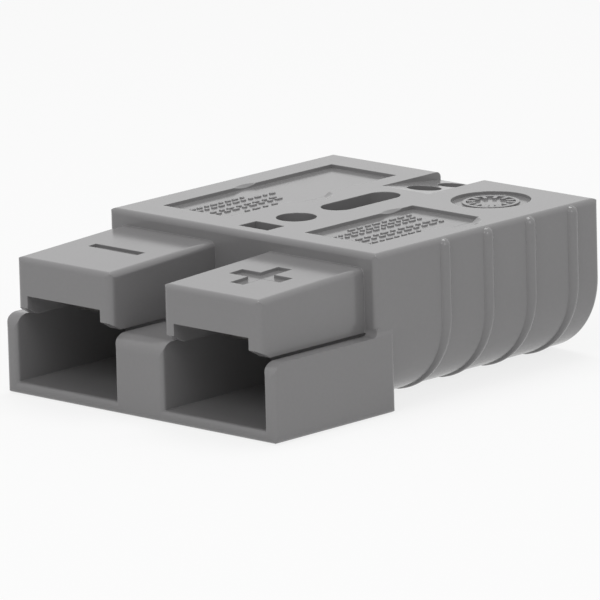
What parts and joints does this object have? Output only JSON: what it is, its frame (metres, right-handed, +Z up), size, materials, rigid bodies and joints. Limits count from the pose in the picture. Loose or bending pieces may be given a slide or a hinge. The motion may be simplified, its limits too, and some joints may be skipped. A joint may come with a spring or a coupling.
{
  "type": "genderless power connector",
  "caption": "Two-pole genderless power connector: moulded housing with offset tongues and sockets, leaf springs and silvered crimp contacts.",
  "frame": {"origin": "centre of the housing's underside, midway along its length and width", "axes": "+X across the two poles towards the positive pole, +Y from the mating face to the cable end, +Z up to the flat top face"},
  "size_m": [0.0374, 0.0478, 0.0162],
  "materials": {
    "housing_plastic": "moulded polycarbonate, mid grey, satin with soft highlights on the edges",
    "spring_steel": "rolled stainless spring strip, bright",
    "contact_metal": "silver-plated copper, lightly tumbled"
  },
  "bodies": {
    "root": {"housing": "housing_plastic", "spring_negative": "spring_steel", "spring_positive": "spring_steel", "contact_negative": "contact_metal", "contact_positive": "contact_metal"}
  },
  "joints": []
}
